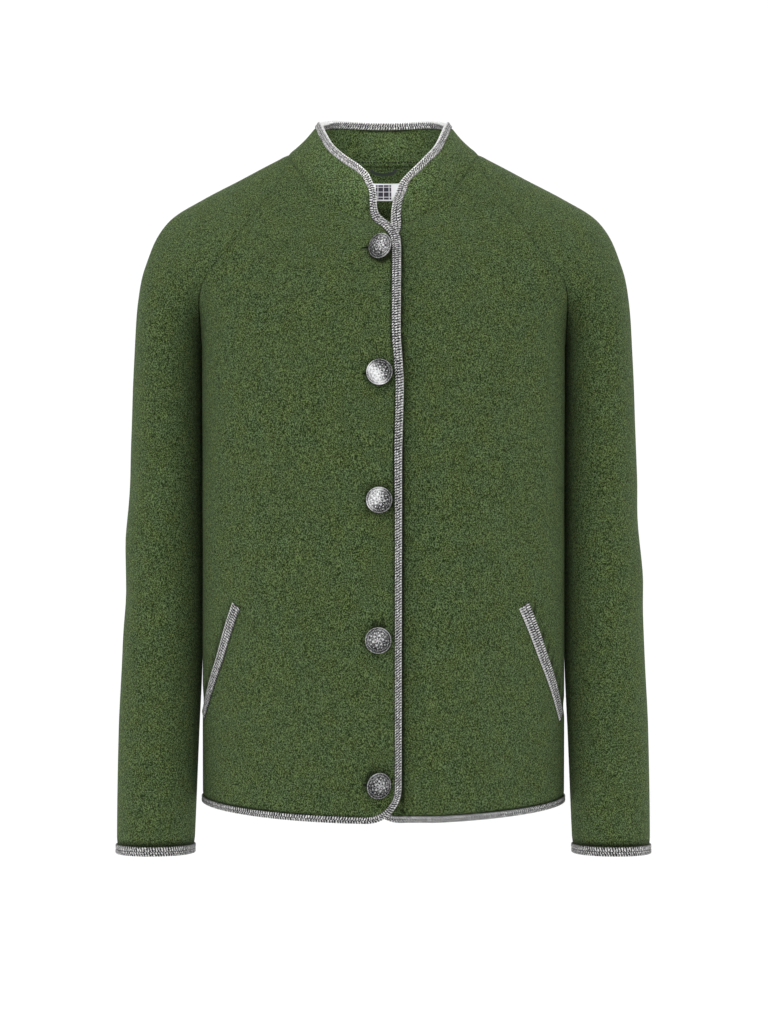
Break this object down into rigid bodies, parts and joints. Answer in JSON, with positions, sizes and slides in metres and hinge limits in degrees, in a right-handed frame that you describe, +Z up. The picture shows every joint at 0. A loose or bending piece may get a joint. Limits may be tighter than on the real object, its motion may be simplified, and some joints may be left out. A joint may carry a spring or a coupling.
{
  "type": "tyrolean boiled-wool jacket",
  "caption": "Hip-length boiled-wool jacket in its worn shape: stand collar, raglan sleeves, grey braid on every edge and pocket, metal shank buttons down the front",
  "frame": {"origin": "middle of the neck, at the level of the shoulder ends of the neck seam, where a wearer carries the garment", "axes": "+X towards the wearer's left, -Y out of the front, +Z up"},
  "size_m": [0.494, 0.247, 0.6885],
  "materials": {
    "wool": "matt felted wool",
    "braid": "ribbed knitted braid",
    "pewter": "antique silver, darkened in the hollows",
    "tape": "matt tape",
    "label": "matt woven"
  },
  "bodies": {
    "root": {"back": "wool", "front_right": "wool", "front_left": "wool", "sleeve_right": "wool", "sleeve_left": "wool", "collar": "wool", "edge_binding": "braid", "cuff_binding_right": "braid", "cuff_binding_left": "braid", "pocket_binding_right": "braid", "pocket_binding_left": "braid", "button_1": "pewter", "button_2": "pewter", "button_3": "pewter", "button_4": "pewter", "button_5": "pewter", "hanger_loop": "tape", "neck_label": "label"}
  },
  "joints": []
}
